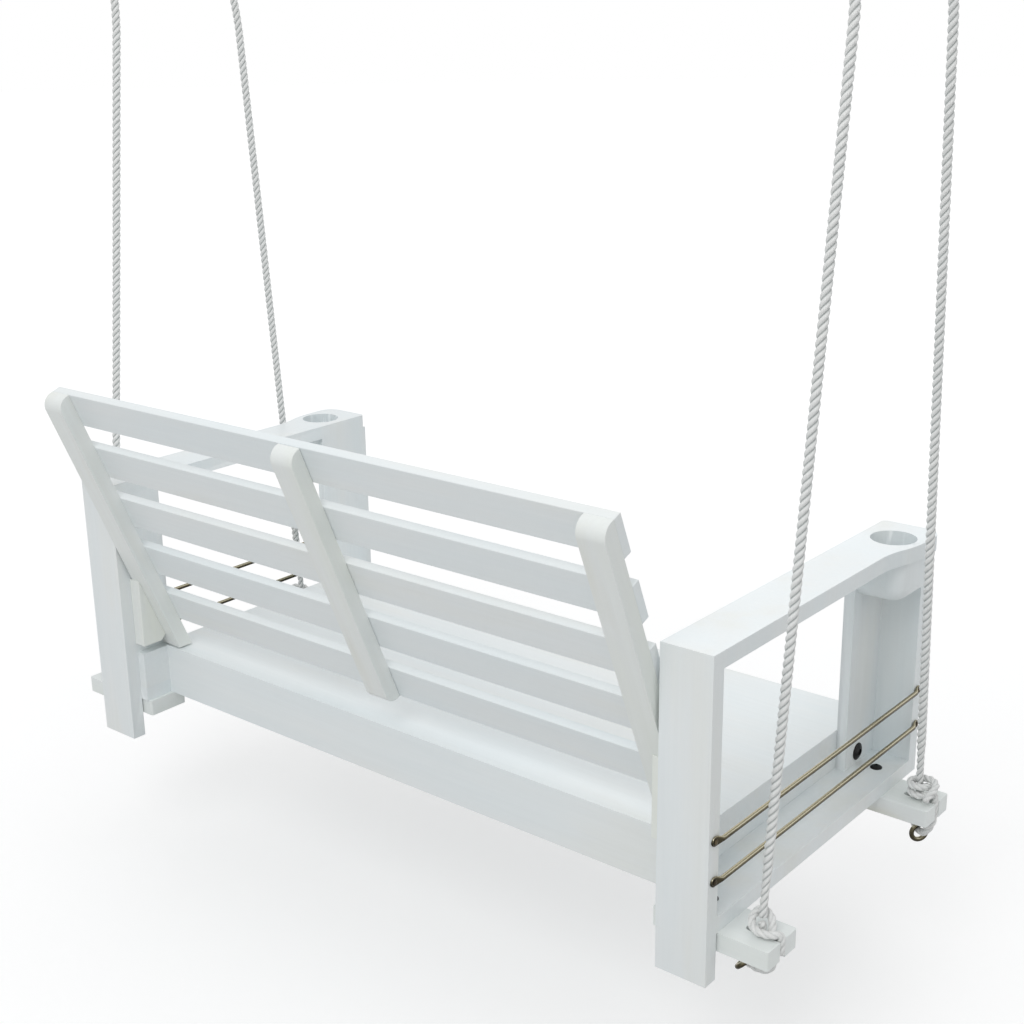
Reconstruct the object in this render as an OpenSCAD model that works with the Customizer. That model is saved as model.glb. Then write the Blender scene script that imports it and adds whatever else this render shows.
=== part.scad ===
// Porch swing seat: a slatted two-seat bench with board arms, hung on four ropes.
// X runs along the bench, +Y to its front, Z up. The origin is on the ceiling plane,
// midway between the four screw hooks. Sizes are in millimetres.

/* [Frame] */
// Width over the outer faces of the legs
overall_w = 1370; // [1100:10:1600]
// Depth from the back of the rear legs to the front of the arms
overall_d = 656; // [640:2:690]
// Height of the arm tops above the leg feet
arm_top_z = 505; // [480:5:560]
// Thickness of the legs, arms, shelves and rails
board_t = 26; // [24:1:28]
// Width of the legs and of the straight part of the arms
leg_w = 85; // [80:1:92]
// Height of the underside of the shelves above the leg feet
shelf_z = 75; // [68:1:85]
// Thickness of the battens and of the seat side boards
slim_t = 18; // [15:1:20]
// Width of the front battens
front_batten_w = 100; // [92:1:110]
// Width of the rear battens
rear_batten_w = 80; // [75:1:90]

/* [Arms and cup holders] */
// How far the arm widens at its outer front corner
arm_flare = 20; // [12:1:26]
// Length of the widening curve
flare_l = 120; // [90:5:150]
// Length of the arm in front of the widening curve
flare_front_l = 60; // [50:1:80]
// Radius of the outer front corner of the arm
arm_outer_r = 30; // [15:1:40]
// Radius of the inner front corner of the arm
arm_inner_r = 10; // [4:1:14]
// Diameter of the cup holes
cup_d = 74; // [60:1:76]
// Depth of the cup holes from the top of the arm
cup_depth = 66; // [40:1:72]
// Distance from the front of the arm to the middle of the cup hole
cup_front = 76; // [74:1:82]
// Distance from the inner edge of the arm to the middle of the cup hole
cup_in = 55; // [55:0.5:56]
// Height of the block under the arm that takes the cup
cup_block_h = 68; // [60:1:80]
// Width of that block
cup_block_w = 80; // [78:1:84]
// Radius of the upright corner of that block
cup_corner_r = 30; // [28:1:34]
// Radius of the rounded lower edges of that block
cup_edge_r = 26; // [15:1:28]

/* [Seat] */
// Height of the seat surface above the shelves
seat_rise = 70; // [60:1:80]
// Distance from the back of the rear legs to the back of the rear rail
rail_y = 82; // [78:1:88]
// Distance from the front of the arm frames back to the front of the seat
seat_setback = 20; // [18:1:24]
// Thickness of the seat panel
seat_panel_t = 18; // [15:1:21]
// Number of bearers under the seat panel
bearer_n = 3; // [2:1:5]
// Height of the bearers
bearer_h = 40; // [30:1:44]

/* [Backrest] */
// Lean of the backrest from upright
back_lean = 22.2; // [20:0.1:24]
// Distance from the back of the rear legs to the lower front edge of the lowest slat
back_y = 106.5; // [106:0.5:110]
// Height of that edge above the seat
back_rise = 65.5; // [60:0.5:72]
// Number of slats
slat_n = 5; // [4:1:6]
// Height of a slat
slat_w = 65; // [50:1:75]
// Distance from one slat to the next
slat_pitch = 111; // [100:1:120]
// Thickness of a slat
slat_t = 16; // [13:1:17]
// Width of a stile
stile_w = 47; // [40:1:55]
// Depth of a stile behind the slats
stile_d = 27.5; // [24:0.5:30]
// Radius of the rounded upper rear corner of a stile
stile_r = 22; // [10:1:23]
// Gap between the stiles' feet and the seat
stile_foot_gap = 2.5; // [1:0.5:6]
// Gap between the end stiles and the arm frames, filled by a washer
stile_side_gap = 5; // [4:0.5:7]
// Height of the back cleats
cleat_h = 130; // [100:1:131]

/* [Outriggers] */
// Thickness of the outrigger blocks
block_t = 30; // [26:1:34]
// Width of the outrigger blocks
block_w = 80; // [70:1:84]
// How far the blocks stand out from the legs
block_out = 82; // [80:1:90]
// How far the blocks reach under the seat, inwards from the shelves' inner edges
block_in = 7; // [4:1:12]
// Distance from the back of the rear legs to the middle of the rear blocks
rear_block_y = 68.5; // [68:0.5:72]
// Distance from the front of the arm frames back to the middle of the front blocks
front_block_back = 87; // [81:1:96]
// Width of the rope slot in the outer end of a block
slot_w = 13.5; // [13:0.1:15]
// Length of the rope slot
slot_l = 58; // [57:1:60]
// Radius of the eased upright edges of a block
block_edge_r = 4; // [2:0.5:6]

/* [Magazine rack] */
// Diameter of the rack rods
rod_d = 8; // [6:0.5:9]
// Height of the lower rods above the shelves
rod_rise = 63; // [50:1:75]
// Height of the upper rods above the lower ones
rod_step = 63; // [50:1:90]
// Diameter of the flat rod ends
rod_tab_d = 15; // [13:0.5:18]
// Thickness of the flat rod ends
rod_tab_t = 3; // [2:0.5:4]

/* [Fasteners] */
// Diameter of the bolts
bolt_d = 8; // [6:1:10]
// Diameter of the domed heads on the front battens
dome_d = 30; // [24:1:32]
// Height of the domed heads
dome_h = 6; // [4:0.5:8]
// Height of those heads' middles above the shelves
dome_rise = 20; // [18:0.5:24]
// Diameter of the smaller bolt heads
head_d = 20; // [18:1:24]
// Height of the smaller bolt heads
head_h = 5; // [4:0.5:7]
// Diameter of the rod screws' shanks
screw_d = 4; // [3:0.5:5]
// Length of the rod screws in the wood
screw_l = 22; // [15:1:24]

/* [Hanging gear] */
// Diameter of the ropes
rope_d = 12; // [10:0.5:12.5]
// Height of the ceiling above the leg feet
ceiling_z = 1490; // [1400:10:2400]
// Distance between the front and the rear hooks
hook_gap = 264; // [200:2:300]
// Distance from the back of the rear legs to the rear hooks
hook_y = 220; // [200:1:240]
// Distance of the ropes from the outer faces of the legs
rope_out = 48.4; // [46:0.2:50]
// Height of a rope's lower bending point above the block
bend_rise = 24; // [24:1:26]
// Diameter of the hooks' round bar
hook_bar_d = 9; // [8:0.5:9]
// Radius of the hooks' bowl, to the middle of the bar
hook_r = 22; // [20:1:26]
// Length of a hook's screw above the ceiling
hook_screw_l = 60; // [40:1:80]
// Diameter of the flange under the ceiling
flange_d = 26; // [20:1:40]
// Thickness of the flange
flange_t = 3; // [2:0.5:5]
// Outer diameter of the rings below the blocks
ring_d = 35; // [34:0.5:36]
// Diameter of the rings' bar
ring_bar_d = 8; // [7:0.5:8]

/* [Hidden] */
$fn = 48;

PAINT = "whitesmoke";
BRONZE = "darkgoldenrod";
STEEL = "silver";
BLACK = "dimgray";
ROPE = "ivory";
LEFT = -1;
RIGHT = 1;

hole_gap = 0.25;     // drilled holes around bolts and screws
nut_gap = 0.05;      // nuts on their bolts
run_gap = 0.3;       // between pieces that move on each other
e = 1;               // overshoot of cutting tools

half_w = overall_w / 2;
inner_x = half_w - leg_w;
shelf_top = shelf_z + board_t;
arm_under = arm_top_z - board_t;
seat_z = shelf_top + seat_rise;
side_in_x = inner_x - slim_t;
front_leg_y = overall_d - board_t;
front_batten_y = front_leg_y - front_batten_w;
seat_front = overall_d - seat_setback;
front_block_y = overall_d - front_block_back;
block_top = shelf_z;
block_bottom = block_top - block_t;
block_end_x = half_w + block_out;
rope_x = half_w + rope_out;
bend_z = block_top + bend_rise;
rope_r = rope_d / 2;

// Backrest, in its own leaning frame: y 0 is the slats' front, z 0 the lowest slat's lower edge
back_z = seat_z + back_rise;
back_top = (slat_n - 1) * slat_pitch + slat_w;
back_half_w = inner_x - stile_side_gap;
stile_back = slat_t + stile_d;
stile_foot_z = seat_z + stile_foot_gap;
function foot_height(depth) = (stile_foot_z - back_z + depth * sin(back_lean)) / cos(back_lean);
function back_face_y(z) = back_y - stile_back / cos(back_lean) - (z - back_z) * tan(back_lean);

// Hanging gear: the pivots are the lowest points of the hooks' bars
flange_z = ceiling_z - flange_t;
hook_neck = 12;
pivot_z = flange_z - hook_neck - 2 * hook_r;
pivot_drop = pivot_z - bend_z;
front_hook_y = hook_y + hook_gap;
mid_y = hook_y + hook_gap / 2;
rear_lean = atan((hook_y - rear_block_y) / pivot_drop);
front_lean = atan((front_hook_y - front_block_y) / pivot_drop);
rear_rope_l = pivot_drop / cos(rear_lean);
front_rope_l = pivot_drop / cos(front_lean);

// Thimble: the rope's middle line runs round a crown circle and down two straight legs
groove_t = 1.5;
groove_r = rope_r + 0.2;
crown_r = hook_bar_d + groove_r + groove_t;
crown_drop = crown_r - groove_r - groove_t - hook_bar_d / 2 - run_gap;
leg_angle = 20;
strand_gap = 0.8;
strand_side = (rope_d + strand_gap) / 2;
leg_run = (crown_r * cos(leg_angle) - strand_side) / tan(leg_angle);
throat = crown_drop + crown_r * sin(leg_angle) + leg_run;
ferrule_l = 28;
ferrule_wall = 2.5;
ferrule_top = throat + 4;
ferrule_end = ferrule_top + ferrule_l;
tail_end = ferrule_end + 8;

// Rope route as [distance below the pivot, sideways], from the tail in the eye to the lower end
crown_steps = [0 : 6];
crown_step = (180 + 2 * leg_angle) / 6;
crown_route_r = crown_r / cos(crown_step / 2);
function crown_point(i) =
  let (a = 180 + leg_angle - i * crown_step)
  [crown_drop - crown_route_r * sin(a), -crown_route_r * cos(a)];
function rope_route(length) = concat(
  [[tail_end, strand_side], [ferrule_top - 1.2, strand_side]],
  [for (i = crown_steps) crown_point(i)],
  [[ferrule_top - 1.2, -strand_side], [ferrule_end + 1, -strand_side]],
  [[110, -2], [140, 0], [400, 0], [700, 0], [1000, 0], [length, 0]]
);

// Hitch routes as [outwards, forwards, upwards] from the rope's place on the block's top face
front_hitch_route = [
  [0, 0, 17.4], [0, 0, 9], [-2, 0, 0], [-8, 0, -14], [-13.5, 0, -28], [-17, 5, -41],
  [-12, 10, -51], [-4, 6.5, -58], [5, 0, -60], [14, -6.5, -58], [22, -10, -51], [27, -6, -41],
  [28, 0, -31], [28, 0, -14], [28, 0, 1], [26.5, -1, 11], [16.5, -10, 12], [5, -14.5, 10],
  [-6, -12.5, 10.5], [-13, -5, 11.5], [-13, 4, 12], [-6.5, 11.5, 12.5], [3, 13.5, 14.5],
  [12, 9, 17.5], [15, -2, 22.5], [10, -12, 25], [0, -15.4, 25.5], [-10, -12, 25.5], [-14.5, -1, 25.5],
  [-10, 9.5, 26], [0, 14, 28], [11, 12, 30.5], [21, 8, 30.5], [28, 0, 28.5],
  [29, -10, 24], [25, -20, 17], [21, -24.5, 8]
];
rear_hitch_route = [
  [0, 0, 17.4], [0, 0, 9], [-2, 0, 0], [-8, 0, -14], [-14, 0, -28], [-23, 0, -38],
  [-26.5, 0, -45], [-22.6, 0, -54.6], [-12, 0, -59], [0, 0, -59.5], [11, 0, -56], [17.5, 0, -48],
  [18, 0, -38], [16, 0, -28], [15.5, 0, -14], [15.5, 0, 1], [14, 4, 9], [9, 11, 18],
  [1, 14.5, 25], [-9, 11, 28], [-14, 4, 25], [-14.5, -4, 18], [-9, -11, 12.5], [0, -14.5, 10],
  [10, -15, 9.5], [21, -11.5, 9.5], [28.5, -4, 9], [31, 0, 1.5], [31, 0, -12], [31, 0, -24]
];

// Where the rings hang on the hitches, and the rope's direction there: [dip, turn]
front_bight = [5, 0, -60];
front_bight_turn = [0, -36];
rear_bight = [-22.6, 0, -54.6];
rear_bight_turn = [45, 0];
ring_r = (ring_d - ring_bar_d) / 2;
ring_drop = ring_r - ring_bar_d / 2 - rope_r - run_gap;

// Everything below is drawn above the leg feet and then hung below the ceiling
module placed() {
  translate([0, -mid_y, -ceiling_z]) children();
}

// Mirrors a right-hand piece to the wanted side
module on_side(side) {
  placed() scale([side, 1, 1]) children();
}

// Board between two corners
module board(low, high) {
  translate(low) cube(high - low);
}

// Extrudes an outline drawn in Y and Z along X, from x0 to x1
module side_profile(x0, x1) {
  translate([x0, 0, 0]) rotate([90, 0, 90]) linear_extrude(x1 - x0) children();
}

// Round bar along X from x0 to x1
module bar_x(d, x0, x1) {
  translate([x0, 0, 0]) rotate([0, 90, 0]) cylinder(d = d, h = x1 - x0);
}

// Tube swept along a list of points, with a rounded end where asked
function unit(v) = v / norm(v);
function along(p, i) = unit(p[min(i + 1, len(p) - 1)] - p[max(i - 1, 0)]);
function square_to(u, t) = unit(u - (u * t) * t);
function side_axes(p) = [
  for (i = 0, u = square_to([0.31, 0.95, 0.02], along(p, 0)); i < len(p);
    i = i + 1, u = i < len(p) ? square_to(u, along(p, i)) : u) u
];
function ring_points(c, t, u, r, sides) = [
  for (k = [0 : sides - 1])
    let (a = 360 * k / sides)
    c + r * (cos(a) * u + sin(a) * cross(t, u))
];
module tube(points, r, sides, round_end = false) {
  last = len(points) - 1;
  tip = points[last];
  dir = along(points, last);
  axes = side_axes(points);
  body = [for (i = [0 : last]) ring_points(points[i], along(points, i), axes[i], r, sides)];
  cap = round_end
    ? [for (a = [35, 65]) ring_points(tip + r * sin(a) * dir, dir, axes[last], r * cos(a), sides)]
    : [];
  rings = concat(body, cap);
  n = len(rings);
  ends = [points[0], round_end ? tip + r * dir : tip];
  skin = [
    for (i = [0 : n - 2], k = [0 : sides - 1])
      let (a = i * sides + k, b = i * sides + (k + 1) % sides)
      each [[a, a + sides, b], [b, a + sides, b + sides]]
  ];
  first_cap = [for (k = [0 : sides - 1]) [n * sides, k, (k + 1) % sides]];
  last_cap = [
    for (k = [0 : sides - 1])
      [n * sides + 1, (n - 1) * sides + (k + 1) % sides, (n - 1) * sides + k]
  ];
  polyhedron(concat([for (g = rings) each g], ends), concat(skin, first_cap, last_cap));
}

// Smooth curve through hand-set points, with the given number of steps between two of them
function curve_at(a, b, c, d, t) =
  b + 0.5 * t * (c - a + t * (2 * a - 5 * b + 4 * c - d + t * (3 * (b - c) + d - a)));
function curve(p, steps) = concat(
  [
    for (i = [0 : len(p) - 2], s = [0 : steps - 1])
      curve_at(p[max(i - 1, 0)], p[i], p[i + 1], p[min(i + 2, len(p) - 1)], s / steps)
  ],
  [p[len(p) - 1]]
);
function self_gap(p, skip) = min([
  for (i = [0 : len(p) - 1], j = [0 : len(p) - 1]) if (j >= i + skip) norm(p[i] - p[j])
]) - rope_d;

// Puts pieces drawn at a pivot, hanging straight down, where a rope hangs from its hook
module at_hook(side, y, lean) {
  placed() translate([side * rope_x, y, pivot_z]) rotate([lean, 0, 0]) children();
}

module rope(side, y, lean, length) {
  color(ROPE) at_hook(side, y, lean)
    tube([for (p = rope_route(length)) [0, p[1], -p[0]]], rope_r, 8, round_end = true);
}

// Half-round channel that the rope's eye lies in, seen in cross-section at the crown
module groove_profile() {
  difference() {
    circle(r = groove_r + groove_t);
    circle(r = groove_r);
    translate([0, -groove_r - groove_t - e]) square(2 * (groove_r + groove_t + e));
  }
}

module thimble() {
  translate([0, 0, -crown_drop]) rotate([0, 90, 0]) {
    rotate([0, 0, 90 - leg_angle]) rotate_extrude(angle = 180 + 2 * leg_angle)
      translate([crown_r, 0]) groove_profile();
    for (m = [0, 1]) mirror([0, m, 0])
      rotate([0, 0, 90 - leg_angle]) translate([crown_r, 0, 0]) rotate([90, 0, 0])
        linear_extrude(thimble_leg_l) groove_profile();
  }
}
thimble_leg_l = 18;

module thimbles(y, lean) {
  color(STEEL) for (side = [LEFT, RIGHT]) at_hook(side, y, lean) thimble();
}

// Pressed sleeve round both strands below the thimble
module ferrule_outline(grow) {
  for (s = [-1, 1]) translate([0, s * strand_side]) circle(r = rope_r + grow);
  translate([-rope_r - grow, -strand_side]) square([2 * (rope_r + grow), 2 * strand_side]);
}

module ferrules(y, lean) {
  color(STEEL) for (side = [LEFT, RIGHT]) at_hook(side, y, lean)
    translate([0, 0, -ferrule_end]) linear_extrude(ferrule_l) difference() {
      ferrule_outline(nut_gap + ferrule_wall);
      ferrule_outline(nut_gap);
    }
}

// Screw hook with a ball at its tip and at its bend, drawn with its pivot at the origin
hook_ball_d = hook_bar_d + 1.5;
module hook() {
  translate([0, 0, hook_r]) rotate([90, 0, 0]) {
    rotate([0, 0, 90]) rotate_extrude(angle = 270) translate([hook_r, 0]) circle(d = hook_bar_d);
    translate([hook_r, 0, 0]) sphere(d = hook_ball_d);
    translate([0, hook_r, 0]) sphere(d = hook_ball_d);
  }
  neck_top = ceiling_z + hook_screw_l - pivot_z;
  translate([0, 0, 2 * hook_r]) cylinder(d = hook_bar_d, h = neck_top - 2 * hook_r);
  translate([0, 0, flange_z - pivot_z]) cylinder(d = flange_d, h = flange_t);
}

module ceiling_hooks() {
  color(STEEL) for (side = [LEFT, RIGHT], y = [hook_y, front_hook_y])
    placed() translate([side * rope_x, y, pivot_z]) hook();
}

// Rope's turns round the block and round itself
module hitch(side, y, route, steps) {
  smooth = curve(route, steps);
  echo(str("least gap of the hitch to itself: ", self_gap(smooth, 4 * steps)));
  color(ROPE) placed() translate([side * rope_x, y, block_top])
    tube([for (p = smooth) [side * p[0], p[1], p[2]]], rope_r, 8);
}

// Ring hanging on the rope's bight below a block, square to the rope there
module ring(side, y, bight, turn) {
  color(BRONZE) on_side(side) translate([rope_x, y, block_top] + bight)
    rotate([0, turn[0], turn[1]]) translate([0, 0, -ring_drop]) rotate([0, 90, 0])
      rotate_extrude() translate([ring_r, 0]) circle(d = ring_bar_d);
}

// Holes for the rod screws, in legs drawn on the right
module rod_screw_holes(y) {
  for (z = rod_heights) translate([0, y + board_t / 2, z])
    bar_x(screw_d + 2 * nut_gap, half_w - screw_l - e, half_w + e);
}
rod_heights = [shelf_top + rod_rise, shelf_top + rod_rise + rod_step];

module rear_leg(side) {
  color(PAINT) on_side(side) difference() {
    board([inner_x, 0, 0], [half_w, board_t, arm_under]);
    rod_screw_holes(0);
  }
}

module front_leg(side) {
  color(PAINT) on_side(side) difference() {
    board([inner_x, front_leg_y, shelf_top], [half_w, overall_d, arm_under]);
    rod_screw_holes(front_leg_y);
  }
}

// Arm seen from above: straight, then widening in two arcs to a rounded outer front corner
arc_steps = 8;
flare_half = flare_l / 2;
flare_arc_r = (pow(flare_half, 2) + pow(arm_flare / 2, 2)) / arm_flare;
flare_arc_a = asin(flare_half / flare_arc_r);
flare_y = overall_d - flare_front_l - flare_l;
function flare_curve() = concat(
  [
    for (i = [0 : arc_steps])
      let (a = flare_arc_a * i / arc_steps)
      [half_w + flare_arc_r * (1 - cos(a)), flare_y + flare_arc_r * sin(a)]
  ],
  [
    for (i = [arc_steps - 1 : -1 : 0])
      let (a = flare_arc_a * i / arc_steps)
      [half_w + arm_flare - flare_arc_r * (1 - cos(a)), flare_y + flare_l - flare_arc_r * sin(a)]
  ]
);
module arm_outline() {
  wide_x = half_w + arm_flare;
  difference() {
    polygon(concat([[inner_x, 0], [half_w, 0]], flare_curve(),
      [[wide_x, overall_d], [inner_x, overall_d]]));
    translate([wide_x - arm_outer_r, overall_d - arm_outer_r]) square(arm_outer_r + e);
    translate([inner_x - e, overall_d - arm_inner_r]) square(arm_inner_r + e);
  }
  translate([wide_x - arm_outer_r, overall_d - arm_outer_r]) circle(r = arm_outer_r);
  translate([inner_x + arm_inner_r, overall_d - arm_inner_r]) circle(r = arm_inner_r);
}

module cup_hole() {
  translate([inner_x + cup_in, overall_d - cup_front, arm_top_z - cup_depth])
    cylinder(d = cup_d, h = cup_depth + e, $fn = 96);
}

module arm_top(side) {
  color(PAINT) on_side(side) difference() {
    translate([0, 0, arm_under]) linear_extrude(board_t) arm_outline();
    cup_hole();
  }
}

// Block under the arm, its rear outer corner rounded and its lower edges rounded over
module cup_block(side) {
  x0 = inner_x + slim_t;
  x1 = x0 + cup_block_w;
  y0 = front_batten_y;
  y1 = front_leg_y;
  z0 = arm_under - cup_block_h;
  color(PAINT) on_side(side) difference() {
    union() {
      side_profile(x0, x1 - cup_corner_r) rounded_low_corner(y0, y1, z0, arm_under);
      translate([0, y1, 0]) rotate([90, 0, 0]) linear_extrude(y1 - y0 - cup_corner_r)
        mirror([1, 0]) rounded_low_corner(-x1, -x0, z0, arm_under);
      translate([x1 - cup_corner_r, y0 + cup_corner_r, 0]) rotate_extrude() intersection() {
        mirror([1, 0]) rounded_low_corner(-cup_corner_r, cup_corner_r, z0, arm_under);
        translate([0, z0]) square([cup_corner_r, cup_block_h]);
      }
    }
    cup_hole();
  }
}

// Upright oblong whose lower corner on the low side is rounded
module rounded_low_corner(u0, u1, z0, z1) {
  translate([u0 + cup_edge_r, z0]) square([u1 - u0 - cup_edge_r, z1 - z0]);
  translate([u0, z0 + cup_edge_r]) square([u1 - u0, z1 - z0 - cup_edge_r]);
  translate([u0 + cup_edge_r, z0 + cup_edge_r]) circle(r = cup_edge_r);
}

block_bolt_in = 53;      // from the arm frames' inner faces
block_bolt_x = inner_x + block_bolt_in;
block_bolt_off = 5;      // from the blocks' middles, towards the front and the back
block_bolt_y = [rear_block_y - block_bolt_off, front_block_y + block_bolt_off];
module shelf(side) {
  color(PAINT) on_side(side) difference() {
    board([side_in_x, board_t, shelf_z], [half_w, overall_d, shelf_top]);
    for (y = block_bolt_y) translate([block_bolt_x, y, shelf_z - e])
      cylinder(d = bolt_d + 2 * hole_gap, h = board_t + 2 * e);
  }
}

dome_off = 42;           // from the front battens' rear edges
dome_y = front_batten_y + dome_off;
dome_z = shelf_top + dome_rise;
module front_batten(side) {
  color(PAINT) on_side(side) difference() {
    board([inner_x, front_batten_y, shelf_top], [inner_x + slim_t, front_leg_y, arm_under]);
    translate([0, dome_y, dome_z])
      bar_x(bolt_d + 2 * hole_gap, inner_x - e, inner_x + slim_t + e);
  }
}

// The end stiles are fixed to the rear battens with lag screws where they pass them
stile_bolt_rise = 69;    // above the seat
stile_bolt_z = seat_z + stile_bolt_rise;
stile_bolt_y = back_face_y(stile_bolt_z) + stile_d / cos(back_lean) / 2;
stile_bolt_depth = 35;   // of the screws in the stiles
module stile_bolt_hole(gap, x0, x1) {
  placed() for (s = [LEFT, RIGHT]) scale([s, 1, 1]) translate([0, stile_bolt_y, stile_bolt_z])
    bar_x(bolt_d + 2 * gap, x0, x1);
}

module rear_batten(side) {
  color(PAINT) difference() {
    on_side(side)
      board([inner_x, board_t, shelf_top], [inner_x + slim_t, board_t + rear_batten_w, arm_under]);
    stile_bolt_hole(hole_gap, inner_x - e, inner_x + slim_t + e);
  }
}

// Outrigger block with eased upright edges and a rope slot in its outer end
module block(side, y, bolt_y) {
  x0 = side_in_x - block_in;
  w = block_end_x - x0;
  color(PAINT) on_side(side) difference() {
    translate([x0, y - block_w / 2, block_bottom]) linear_extrude(block_t) {
      translate([block_edge_r, 0]) square([w - 2 * block_edge_r, block_w]);
      translate([0, block_edge_r]) square([w, block_w - 2 * block_edge_r]);
      for (u = [block_edge_r, w - block_edge_r], v = [block_edge_r, block_w - block_edge_r])
        translate([u, v]) circle(r = block_edge_r);
    }
    translate([block_end_x - slot_l + slot_w / 2, y, block_bottom - e]) {
      cylinder(d = slot_w, h = block_t + 2 * e);
      translate([0, -slot_w / 2, 0]) cube([slot_l, slot_w, block_t + 2 * e]);
    }
    translate([block_bolt_x, bolt_y, block_bottom - e])
      cylinder(d = bolt_d + 2 * hole_gap, h = block_t + 2 * e);
  }
}

// Rod along the outside of the legs, its ends flattened and screwed to them
rod_x_gap = 1;           // between the rods and the legs
rod_inset = 2;           // of the rods' round part from the legs
rod_neck = 8;            // how far the flat ends run on under the round part
rod_x = half_w + rod_d / 2 + rod_x_gap;
module rack_rod(side, z) {
  rear_y = board_t / 2;
  front_y = overall_d - board_t / 2;
  rod_start = board_t + rod_inset;
  rod_end = front_leg_y - rod_inset;
  color(BRONZE) on_side(side) difference() {
    translate([0, 0, z]) {
      translate([rod_x, rod_start, 0]) rotate([-90, 0, 0])
        cylinder(d = rod_d, h = rod_end - rod_start);
      for (y = [rear_y, front_y]) translate([0, y, 0]) bar_x(rod_tab_d, half_w, half_w + rod_tab_t);
      for (y = [[rear_y, rod_start + rod_neck], [rod_end - rod_neck, front_y]])
        board([half_w, y[0], -rod_d / 2], [half_w + rod_tab_t, y[1], rod_d / 2]);
    }
    for (y = [rear_y, front_y]) translate([0, y, z])
      bar_x(screw_d + 2 * hole_gap, half_w - e, half_w + rod_tab_t + e);
  }
}

screw_head_d = 9;
screw_head_h = 2.5;
module rod_screws() {
  x = half_w + rod_tab_t;
  color(BRONZE) for (side = [LEFT, RIGHT], z = rod_heights, y = [board_t / 2, overall_d - board_t / 2])
    on_side(side) translate([0, y, z]) {
      bar_x(screw_d, half_w - screw_l, x);
      translate([x, 0, 0]) dome(screw_head_d, screw_head_h);
    }
}

module seat_side(side) {
  color(PAINT) on_side(side) difference() {
    board([side_in_x, board_t, shelf_top], [inner_x, seat_front, seat_z]);
    translate([0, dome_y, dome_z]) bar_x(bolt_d + 2 * hole_gap, side_in_x - e, inner_x + e);
  }
}

module rail(y) {
  color(PAINT) placed() board([-side_in_x, y, shelf_z], [side_in_x, y + board_t, seat_z]);
}

// The seat panel lies between the rails, flush with them and with the seat sides
seat_y0 = rail_y + board_t;
seat_y1 = seat_front - board_t;
module seat_panel() {
  color(PAINT) placed() board([-side_in_x, seat_y0, seat_z - seat_panel_t], [side_in_x, seat_y1, seat_z]);
}

module seat_bearers() {
  top = seat_z - seat_panel_t;
  color(PAINT) placed() for (i = [0 : bearer_n - 1]) {
    x = side_in_x * (2 * (i + 0.5) / bearer_n - 1);
    board([x - board_t / 2, seat_y0, top - bearer_h], [x + board_t / 2, seat_y1, top]);
  }
}

// Pieces of the backrest are drawn in its leaning frame
module on_back() {
  placed() translate([0, back_y, back_z]) rotate([back_lean, 0, 0]) children();
}

// What rounding takes off the upper rear corner of a stile
module stile_corner() {
  translate([-stile_back, back_top - stile_r]) difference() {
    translate([-e, 0]) square(stile_r + e);
    translate([stile_r, 0]) circle(r = stile_r);
  }
}

// End stiles stand just above the seat, the centre one ends with the lowest slat
module end_stile(side) {
  x = side * (back_half_w - stile_w / 2);
  color(PAINT) difference() {
    on_back() side_profile(x - stile_w / 2, x + stile_w / 2) difference() {
      polygon([[-slat_t, foot_height(slat_t)], [-slat_t, back_top], [-stile_back, back_top],
        [-stile_back, foot_height(stile_back)]]);
      stile_corner();
    }
    stile_bolt_hole(nut_gap, back_half_w - stile_bolt_depth, back_half_w + e);
  }
}
module centre_stile() {
  color(PAINT) on_back() side_profile(-stile_w / 2, stile_w / 2) difference() {
    translate([-stile_back, 0]) square([stile_d, back_top]);
    stile_corner();
    translate([0, back_top]) mirror([0, 1]) stile_corner();
  }
}

// Slats count from the top
module slat(number) {
  z = back_top - slat_w - (number - 1) * slat_pitch;
  color(PAINT) on_back() board([-back_half_w, -slat_t, z], [back_half_w, 0, z + slat_w]);
}

// Cleat inside the arm frame: its slanted edge follows the back of the stile
cleat_y = 24;
cleat_rise = 18;         // above the seat
cleat_z = seat_z + cleat_rise;
cleat_chamfer = 10;
module back_cleat(side) {
  top = cleat_z + cleat_h;
  low = cleat_z + cleat_chamfer;
  color(PAINT) on_side(side) side_profile(inner_x - board_t, inner_x)
    polygon([[cleat_y, cleat_z], [back_face_y(low) - cleat_chamfer, cleat_z],
      [back_face_y(low), low], [back_face_y(top), top], [cleat_y, top]]);
}

// Bolt heads are drawn on the plane x = 0, their shanks run towards -x
head_rim = 1;
module dome(d, h) {
  cap_h = h - head_rim;
  sphere_r = (pow(d / 2, 2) + cap_h * cap_h) / (2 * cap_h);
  rotate([0, 90, 0]) {
    cylinder(d = d, h = head_rim);
    rotate_extrude() intersection() {
      translate([0, h - sphere_r]) circle(r = sphere_r, $fn = 180);
      translate([0, head_rim]) square([d / 2, cap_h]);
    }
  }
}
module domed_head(d, h) {
  socket_d = d * 0.4;
  difference() {
    dome(d, h);
    translate([h / 2, 0, 0]) rotate([0, 90, 0]) cylinder(d = socket_d, h = h, $fn = 6);
  }
}

washer_t = 1.5;
nut_h = 6.5;
module nut_and_washer() {
  rotate([0, -90, 0]) difference() {
    union() {
      cylinder(d = 2.4 * bolt_d, h = washer_t);
      translate([0, 0, washer_t]) cylinder(d = 1.8 * bolt_d, h = nut_h, $fn = 6);
    }
    translate([0, 0, -e]) cylinder(d = bolt_d + 2 * nut_gap, h = washer_t + nut_h + 2 * e);
  }
}

module bolt(d, h, grip) {
  domed_head(d, h);
  bar_x(bolt_d, -grip - washer_t - nut_h - 2, 0);
  translate([-grip, 0, 0]) nut_and_washer();
}

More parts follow.
